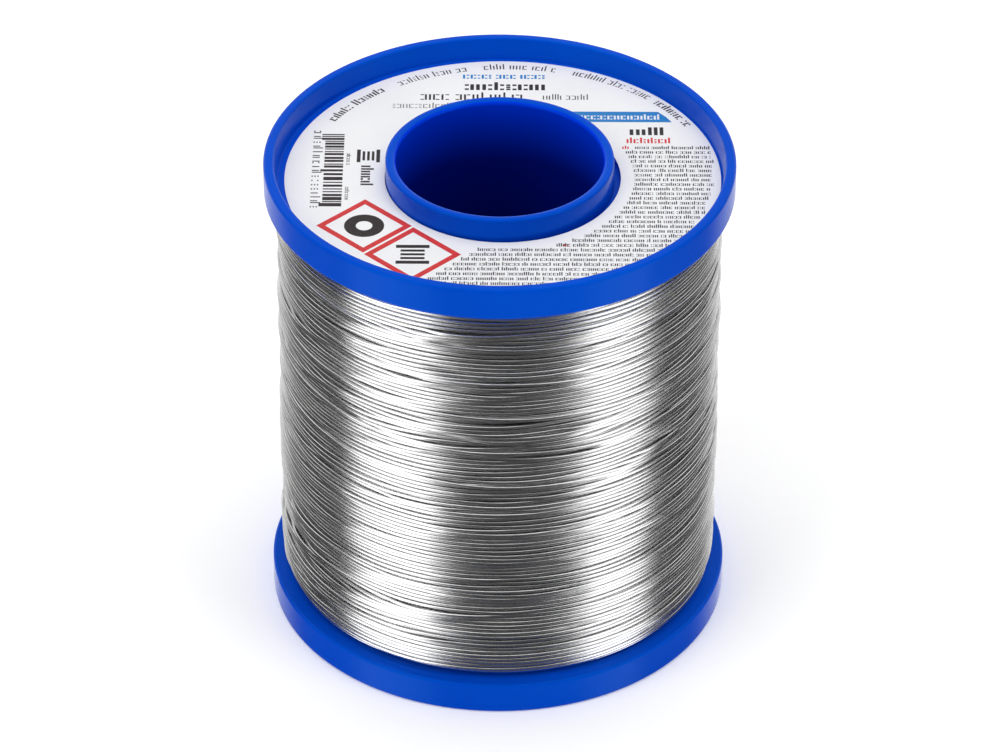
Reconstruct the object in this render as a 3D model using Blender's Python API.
"""Solder wire spool: a plastic reel of three mouldings, a paper label and 1 kg of wound solder wire.

Metres, +Z up. The origin is at the centre of the underside, on the reel's axis.
"""

import math

import bmesh
import bpy
from mathutils import Vector

MM = 0.001

# Driving dimensions, in millimetres.
REEL_HEIGHT = 76.0
FLANGE_RADIUS = 34.5
FLANGE_HEIGHT = 5.0         # outer rim, measured along the axis
RECESS_DEPTH = 3.8          # from the rim's outer face down to the web
RIM_WALL = 1.5              # at the rim's open edge
RIM_DRAFT = 0.45            # how much thicker the rim is at the web
BORE_RADIUS = 15.15
TUBE_WALL = 1.55            # at the two necks that carry the flanges
SHOULDER_STEP = 0.8         # the wound part of the tube is this much larger than its necks
WIRE_DIAMETER = 0.7
LABEL_THICKNESS = 0.12
LABEL_OUTER_RADIUS = 32.25
GAP = 0.3                   # left between neighbouring pieces

# Edge roundings, in millimetres.
RIM_OUTER_EDGE = 0.5
RIM_INNER_EDGE = 0.35
RIM_BACK_EDGE = 0.4         # where the rim meets the face against the wire
TUBE_EDGE = 0.45

# The anchor slot beside the tube, and the wire's two ends.
SLOT_LENGTH = 6.4
SLOT_WIDTH = 1.7
SLOT_AZIMUTH = 90.0         # where the wire enters the slot
SLOT_LEAD = 1.35            # from there to the slot's middle, along the recess
CUT_MARGIN = 1.0            # how far the slot's cutter stands out of the web
START_TAIL_RADIUS = 19.0
START_TAIL_LENGTH = 15.0
START_TAIL_DROP_LENGTH = 4.5
START_TAIL_Z = 2.9
FINISH_AZIMUTH = 62.0
FINISH_LENGTH = 14.0
FINISH_LIFT = 0.35
FINISH_HEIGHT = 40.0
FINISH_DROP = 0.6

# Where the winding is split into groups of layers, and how uneven its outside is.
MIDDLE_LAYERS_RADIUS = 23.0
OUTER_LAYERS_RADIUS = 29.0
MEAN_SURFACE_RADIUS = 32.7
LONG_WAVE = 0.12            # one swell from flange to flange
SHORT_WAVE = 0.08           # two and a half swells from flange to flange
SHORT_WAVE_START = 0.6      # radians
END_DROP = 0.5              # how much lower the winding is right beside a flange
END_DROP_RATE = 40.0        # how fast that drop fades, per length of the winding
FINISH_CLEARANCE = 0.45     # between the mean surface and the loose end's underside

# Resolution.
SHARP_EDGE_DEG = 40
MERGE_DISTANCE = 1e-6
TURNED_STEPS = 72
ARC_STEPS = 3
WINDING_PROFILE_STEPS = 10
TAIL_STEPS = 22
TAIL_BEVEL_RESOLUTION = 2

# Dimensions that follow from the ones above.
NECK_RADIUS = BORE_RADIUS + TUBE_WALL
SHOULDER_RADIUS = NECK_RADIUS + SHOULDER_STEP
FLANGE_HOLE_RADIUS = NECK_RADIUS + GAP
LABEL_HOLE_RADIUS = FLANGE_HOLE_RADIUS
WINDING_BOTTOM = FLANGE_HEIGHT + GAP
WINDING_TOP = REEL_HEIGHT - FLANGE_HEIGHT - GAP

BLUE_PLASTIC = ((0.002, 0.052, 0.560), 0.32, 0.0)
DARK_BLUE_PLASTIC = ((0.002, 0.045, 0.480), 0.34, 0.0)
LABEL_PAPER = ((0.84, 0.86, 0.90), 0.55, 0.0)
SOLDER = ((0.72, 0.72, 0.73), 0.30, 1.0)


def clear_scene():
    """Remove every object that is already in the scene."""
    for obj in list(bpy.data.objects):
        bpy.data.objects.remove(obj, do_unlink=True)


def make_material(name, look):
    """A Principled material from (colour, roughness, metallic)."""
    colour, roughness, metallic = look
    material = bpy.data.materials.new(name)
    material.use_nodes = True
    shader = material.node_tree.nodes["Principled BSDF"]
    shader.inputs["Base Color"].default_value = (*colour, 1.0)
    shader.inputs["Roughness"].default_value = roughness
    shader.inputs["Metallic"].default_value = metallic
    return material


def arc(centre_r, centre_z, radius, start_deg, end_deg):
    """Points of a round edge in the (r, z) half plane, in millimetres."""
    points = []
    for step in range(ARC_STEPS + 1):
        angle = math.radians(start_deg + (end_deg - start_deg) * step / ARC_STEPS)
        points.append((centre_r + radius * math.cos(angle), centre_z + radius * math.sin(angle)))
    return points


def turned(name, profile, look):
    """Spin a closed (r, z) outline, in millimetres, once round the Z axis."""
    mesh = bpy.data.meshes.new(name)
    ring = bmesh.new()
    corners = [ring.verts.new((r * MM, 0.0, z * MM)) for r, z in profile]
    edges = [ring.edges.new((corner, corners[i - 1])) for i, corner in enumerate(corners)]
    bmesh.ops.spin(ring, geom=corners + edges, axis=(0, 0, 1), cent=(0, 0, 0),
                   angle=2 * math.pi, steps=TURNED_STEPS, use_merge=True)
    bmesh.ops.remove_doubles(ring, verts=ring.verts, dist=MERGE_DISTANCE)
    bmesh.ops.recalc_face_normals(ring, faces=ring.faces)
    ring.to_mesh(mesh)
    ring.free()
    mesh.shade_smooth()
    mesh.set_sharp_from_angle(angle=math.radians(SHARP_EDGE_DEG))
    obj = bpy.data.objects.new(name, mesh)
    obj.data.materials.append(make_material(name, look))
    bpy.context.scene.collection.objects.link(obj)
    return obj


def barrel_profile():
    """The tube: a straight bore, and a shoulder near each end that the flanges seat on."""
    low = FLANGE_HEIGHT + GAP
    high = REEL_HEIGHT - low
    edge = TUBE_EDGE
    outline = []
    outline += arc(BORE_RADIUS + edge, edge, edge, 180, 270)
    outline += arc(NECK_RADIUS - edge, edge, edge, 270, 360)
    outline += [(NECK_RADIUS, low), (SHOULDER_RADIUS, low)]
    outline += [(SHOULDER_RADIUS, high), (NECK_RADIUS, high)]
    outline += arc(NECK_RADIUS - edge, REEL_HEIGHT - edge, edge, 0, 90)
    outline += arc(BORE_RADIUS + edge, REEL_HEIGHT - edge, edge, 90, 180)
    return outline


def flange_profile():
    """One flange as it lies at the foot of the reel: recess facing down, flat face up."""
    rim_inner = FLANGE_RADIUS - RIM_WALL
    web_inner = rim_inner - RIM_DRAFT
    outer, inner, back = RIM_OUTER_EDGE, RIM_INNER_EDGE, RIM_BACK_EDGE
    outline = [(FLANGE_HOLE_RADIUS, RECESS_DEPTH)]
    outline += arc(web_inner - inner, RECESS_DEPTH - inner, inner, 90, 0)
    outline += arc(rim_inner + inner, inner, inner, 180, 270)
    outline += arc(FLANGE_RADIUS - outer, outer, outer, 270, 360)
    outline += arc(FLANGE_RADIUS - back, FLANGE_HEIGHT - back, back, 0, 90)
    outline.append((FLANGE_HOLE_RADIUS, FLANGE_HEIGHT))
    return outline


def turned_over(profile):
    """The same outline at the other end of the reel."""
    return [(r, REEL_HEIGHT - z) for r, z in reversed(profile)]


def slot_cutter(name, low_z, high_z):
    """An oblong block with round ends that cuts the anchor slot through a web."""
    mesh = bpy.data.meshes.new(name)
    block = bmesh.new()
    middle = math.radians(SLOT_AZIMUTH) + SLOT_LEAD / START_TAIL_RADIUS
    along = Vector((-math.sin(middle), math.cos(middle), 0.0))
    outwards = Vector((math.cos(middle), math.sin(middle), 0.0))
    centre = outwards * START_TAIL_RADIUS * MM + Vector((0.0, 0.0, low_z * MM))
    half_straight = (SLOT_LENGTH - SLOT_WIDTH) / 2
    rim = []
    for side in (1, -1):
        for step in range(2 * ARC_STEPS + 1):
            angle = math.pi * (step / (2 * ARC_STEPS) - 0.5)
            x = side * (half_straight + SLOT_WIDTH / 2 * math.cos(angle))
            y = side * SLOT_WIDTH / 2 * math.sin(angle)
            rim.append(block.verts.new(centre + (along * x + outwards * y) * MM))
    base = block.faces.new(rim)
    top = bmesh.ops.extrude_face_region(block, geom=[base])
    raised = [item for item in top["geom"] if isinstance(item, bmesh.types.BMVert)]
    bmesh.ops.translate(block, verts=raised, vec=(0.0, 0.0, (high_z - low_z) * MM))
    bmesh.ops.recalc_face_normals(block, faces=block.faces)
    block.to_mesh(mesh)
    block.free()
    cutter = bpy.data.objects.new(name, mesh)
    cutter.hide_render = True
    cutter.display_type = "WIRE"
    bpy.context.scene.collection.objects.link(cutter)
    return cutter


def cut(obj, cutter):
    """Subtract the cutter from the object."""
    modifier = obj.modifiers.new("anchor_slot", "BOOLEAN")
    modifier.operation = "DIFFERENCE"
    modifier.object = cutter


def add_flanges():
    """The two flanges are the same moulding, one turned over."""
    lower = turned("lower_flange", flange_profile(), DARK_BLUE_PLASTIC)
    upper = turned("upper_flange", turned_over(flange_profile()), BLUE_PLASTIC)
    low = RECESS_DEPTH - CUT_MARGIN
    high = FLANGE_HEIGHT + CUT_MARGIN
    cut(lower, slot_cutter("lower_slot_cutter", low, high))
    cut(upper, slot_cutter("upper_slot_cutter", REEL_HEIGHT - high, REEL_HEIGHT - low))


def label_profile():
    """A flat paper ring that lies in the upper recess."""
    bottom = REEL_HEIGHT - RECESS_DEPTH + GAP
    top = bottom + LABEL_THICKNESS
    return [(LABEL_HOLE_RADIUS, bottom), (LABEL_OUTER_RADIUS, bottom),
            (LABEL_OUTER_RADIUS, top), (LABEL_HOLE_RADIUS, top)]


def winding_surface(height):
    """Radius of the wound wire's outside: slightly uneven, and lower next to each flange."""
    share = (height - WINDING_BOTTOM) / (WINDING_TOP - WINDING_BOTTOM)
    long_wave = LONG_WAVE * math.sin(2 * math.pi * share)
    short_wave = SHORT_WAVE * math.sin(5 * math.pi * share + SHORT_WAVE_START)
    end_drop = END_DROP * math.exp(-END_DROP_RATE * min(share, 1 - share))
    return MEAN_SURFACE_RADIUS + long_wave + short_wave - end_drop


def add_winding():
    """The wound wire, as nested rings of layers between the two flanges."""
    starts = (SHOULDER_RADIUS + GAP, MIDDLE_LAYERS_RADIUS + GAP)
    ends = (MIDDLE_LAYERS_RADIUS, OUTER_LAYERS_RADIUS)
    for name, inner, outer in zip(("wire_inner_layers", "wire_middle_layers"), starts, ends):
        turned(name, [(inner, WINDING_BOTTOM), (outer, WINDING_BOTTOM),
                      (outer, WINDING_TOP), (inner, WINDING_TOP)], SOLDER)
    outline = [(OUTER_LAYERS_RADIUS + GAP, WINDING_BOTTOM)]
    for step in range(WINDING_PROFILE_STEPS + 1):
        height = WINDING_BOTTOM + (WINDING_TOP - WINDING_BOTTOM) * step / WINDING_PROFILE_STEPS
        outline.append((winding_surface(height), height))
    outline.append((OUTER_LAYERS_RADIUS + GAP, WINDING_TOP))
    turned("wire_outer_layers", outline, SOLDER)


def wire_piece(name, points):
    """A stretch of wire along the given points, in millimetres, with closed ends."""
    curve = bpy.data.curves.new(name, "CURVE")
    curve.dimensions = "3D"
    curve.bevel_depth = WIRE_DIAMETER / 2 * MM
    curve.bevel_resolution = TAIL_BEVEL_RESOLUTION
    curve.use_fill_caps = True
    spline = curve.splines.new("POLY")
    spline.points.add(len(points) - 1)
    for target, point in zip(spline.points, points):
        target.co = (*(value * MM for value in point), 1.0)
    curve.materials.append(make_material(name, SOLDER))
    obj = bpy.data.objects.new(name, curve)
    bpy.context.scene.collection.objects.link(obj)


def smooth_step(share):
    """0 to 1 with level ends."""
    share = min(max(share, 0.0), 1.0)
    return share * share * (3 - 2 * share)


def add_start_tail():
    """The wire's inner end: down through the lower anchor slot, then along the recess."""
    upper_z = FLANGE_HEIGHT - WIRE_DIAMETER / 2
    points = []
    for step in range(TAIL_STEPS + 1):
        travel = START_TAIL_LENGTH * step / TAIL_STEPS
        angle = math.radians(SLOT_AZIMUTH) + travel / START_TAIL_RADIUS
        z = upper_z + (START_TAIL_Z - upper_z) * smooth_step(travel / START_TAIL_DROP_LENGTH)
        points.append((START_TAIL_RADIUS * math.cos(angle), START_TAIL_RADIUS * math.sin(angle), z))
    wire_piece("wire_start_tail", points)


def add_finish_end():
    """The wire's outer end: a short stub that lies along the winding at the rear."""
    inner = MEAN_SURFACE_RADIUS + FINISH_CLEARANCE + WIRE_DIAMETER / 2
    points = []
    for step in range(TAIL_STEPS + 1):
        share = step / TAIL_STEPS
        radius = inner + FINISH_LIFT * share * share
        angle = math.radians(FINISH_AZIMUTH) + FINISH_LENGTH * share / inner
        z = FINISH_HEIGHT - FINISH_DROP * share
        points.append((radius * math.cos(angle), radius * math.sin(angle), z))
    wire_piece("wire_finish_end", points)


def main():
    clear_scene()
    turned("barrel_tube", barrel_profile(), BLUE_PLASTIC)
    add_flanges()
    turned("upper_label", label_profile(), LABEL_PAPER)
    add_winding()
    add_start_tail()
    add_finish_end()


main()
